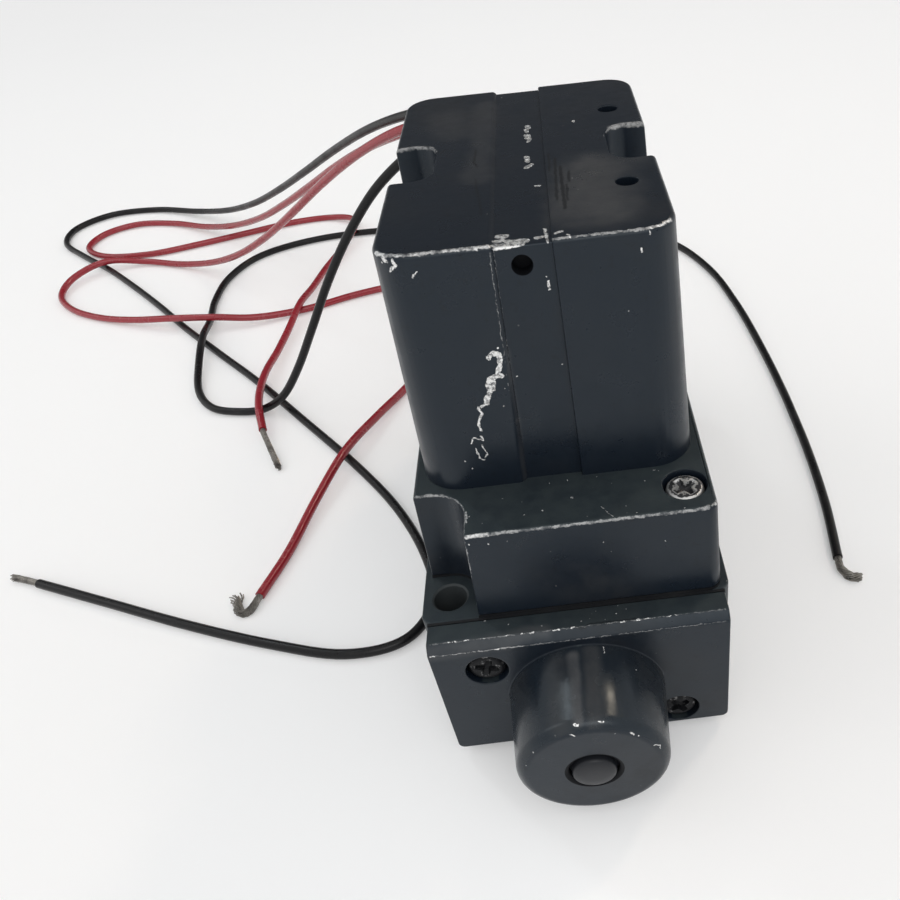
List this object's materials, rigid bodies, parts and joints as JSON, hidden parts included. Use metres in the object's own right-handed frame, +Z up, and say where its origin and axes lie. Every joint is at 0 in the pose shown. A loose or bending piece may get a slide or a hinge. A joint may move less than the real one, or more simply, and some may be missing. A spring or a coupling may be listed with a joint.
{
  "type": "pneumatic solenoid valve",
  "caption": "Double-solenoid pilot-operated spool valve with a waisted cover tower, bossed end caps with override buttons, and free red and black leads.",
  "frame": {"origin": "middle of the mounting face, midway between the two mounting holes", "axes": "+Z up out of the mounting face, Y along the spool, the -Y end being the one with its button out"},
  "size_m": [0.246, 0.2861, 0.085],
  "materials": {
    "paint": "dark blue-black satin enamel, worn bright at the edges",
    "gasket": "matte dark gasket sheet",
    "rubber": "matte black",
    "dark_screw": "blackened, worn bright at the recess and rim",
    "steel": "plain machined",
    "aluminium": "machined",
    "brass": "machined",
    "button": "satin black acetal",
    "bobbin": "natural nylon",
    "winding": "enamelled copper wire",
    "black_insulation": "smooth lead insulation",
    "red_insulation": "smooth lead insulation",
    "tinned_wire": "tinned stranded copper"
  },
  "bodies": {
    "housing": {"valve_body": "paint", "base_gasket": "rubber", "near_end_cap": "paint", "far_end_cap": "paint", "cap_gaskets": "gasket", "cap_screws": "dark_screw", "button_seals": "rubber", "solenoid_cover": "paint", "cover_gasket": "gasket", "cover_screws": "dark_screw", "pilot_plate": "aluminium", "pilot_plate_screws": "steel", "pilot_seats": "brass", "near_frame": "steel", "far_frame": "steel", "near_bobbin": "bobbin", "far_bobbin": "bobbin", "near_winding": "winding", "far_winding": "winding", "near_core_tube": "steel", "far_core_tube": "steel", "near_pole_piece": "steel", "far_pole_piece": "steel", "near_spring": "steel", "far_spring": "steel", "coil_nuts": "steel", "lead_grommet": "rubber", "black_lead_1": "black_insulation", "black_lead_2": "black_insulation", "red_lead_1": "red_insulation", "red_lead_2": "red_insulation", "bare_lead_ends": "tinned_wire"},
    "spool": {"spool": "aluminium", "spool_seals": "rubber", "near_piston": "brass", "far_piston": "brass", "piston_seals": "rubber"},
    "near_override": {"near_override_button": "button"},
    "far_override": {"far_override_button": "button"},
    "near_armature": {"near_armature": "steel", "near_poppet": "rubber"},
    "far_armature": {"far_armature": "steel", "far_poppet": "rubber"}
  },
  "joints": [
    {"name": "spool_shift", "type": "slide", "parent": "housing", "child": "spool", "axis": [0, 1, 0], "range_m": [0, 0.004]},
    {"name": "near_override_press", "type": "slide", "parent": "housing", "child": "near_override", "axis": [0, 1, 0], "range_m": [0, 0.004]},
    {"name": "far_override_pop", "type": "slide", "parent": "housing", "child": "far_override", "axis": [0, 1, 0], "range_m": [0, 0.004]},
    {"name": "near_armature_lift", "type": "slide", "parent": "housing", "child": "near_armature", "axis": [0, 0, 1], "range_m": [0, 0.0015], "stiffness_N_per_m": 150, "springref_m": -0.004, "deforming": ["near_spring"]},
    {"name": "far_armature_lift", "type": "slide", "parent": "housing", "child": "far_armature", "axis": [0, 0, 1], "range_m": [0, 0.0015], "stiffness_N_per_m": 150, "springref_m": -0.004, "deforming": ["far_spring"]}
  ],
  "couplings": [
    {"joint": "near_override_press", "follows": "spool_shift", "ratio": 1},
    {"joint": "far_override_pop", "follows": "spool_shift", "ratio": 1}
  ]
}
